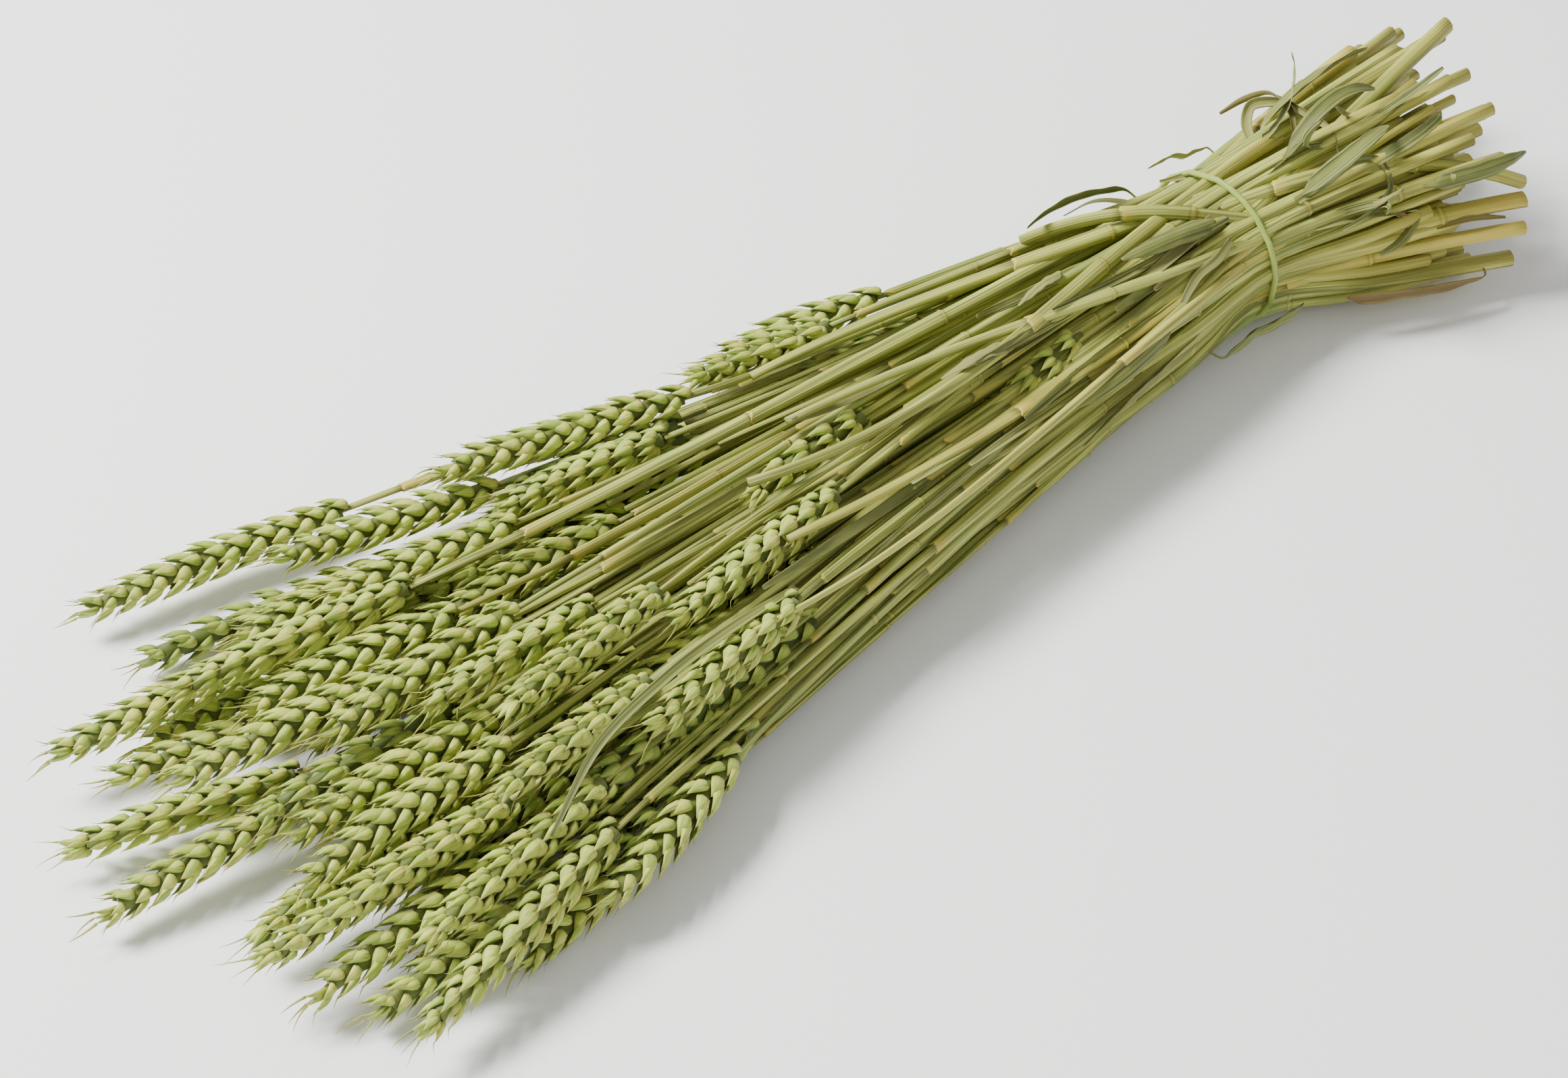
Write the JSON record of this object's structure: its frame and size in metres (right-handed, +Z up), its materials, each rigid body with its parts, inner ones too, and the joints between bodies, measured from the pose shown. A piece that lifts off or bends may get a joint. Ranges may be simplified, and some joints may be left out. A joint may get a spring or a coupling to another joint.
{
  "type": "tied wheat bunch",
  "caption": "Bunch of dried, green-dyed wheat lying flat: bearded ears fan out at one end, cut straws at the other, and one thin elastic band holds it together.",
  "frame": {"origin": "on the surface that the bunch lies on, under the middle of its bounding box", "axes": "+X along the bunch from the ears to the cut ends, +Y across it, +Z up from the surface"},
  "size_m": [0.6011, 0.2205, 0.0811],
  "materials": {
    "dry_wheat": "dry matt straw, dyed green",
    "band": "thin pale green elastic"
  },
  "bodies": {
    "root": {"stalk_01": "dry_wheat", "stalk_02": "dry_wheat", "stalk_03": "dry_wheat", "stalk_04": "dry_wheat", "stalk_05": "dry_wheat", "stalk_06": "dry_wheat", "stalk_07": "dry_wheat", "stalk_08": "dry_wheat", "stalk_09": "dry_wheat", "stalk_10": "dry_wheat", "stalk_11": "dry_wheat", "stalk_12": "dry_wheat", "stalk_13": "dry_wheat", "stalk_14": "dry_wheat", "stalk_15": "dry_wheat", "stalk_16": "dry_wheat", "stalk_17": "dry_wheat", "stalk_18": "dry_wheat", "stalk_19": "dry_wheat", "stalk_20": "dry_wheat", "stalk_21": "dry_wheat", "stalk_22": "dry_wheat", "stalk_23": "dry_wheat", "stalk_24": "dry_wheat", "stalk_25": "dry_wheat", "stalk_26": "dry_wheat", "stalk_27": "dry_wheat", "stalk_28": "dry_wheat", "stalk_29": "dry_wheat", "stalk_30": "dry_wheat", "stalk_31": "dry_wheat", "stalk_32": "dry_wheat", "stalk_33": "dry_wheat", "stalk_34": "dry_wheat", "stalk_35": "dry_wheat", "stalk_36": "dry_wheat", "stalk_37": "dry_wheat", "stalk_38": "dry_wheat", "stalk_39": "dry_wheat", "stalk_40": "dry_wheat", "stalk_41": "dry_wheat", "stalk_42": "dry_wheat", "stalk_43": "dry_wheat", "stalk_44": "dry_wheat", "stalk_45": "dry_wheat", "stalk_46": "dry_wheat", "stalk_47": "dry_wheat", "stalk_48": "dry_wheat", "stalk_49": "dry_wheat", "stalk_50": "dry_wheat", "stalk_51": "dry_wheat", "stalk_52": "dry_wheat", "stalk_53": "dry_wheat", "stalk_54": "dry_wheat", "stalk_55": "dry_wheat", "stalk_56": "dry_wheat", "stalk_57": "dry_wheat", "stalk_58": "dry_wheat", "band": "band"}
  },
  "joints": []
}
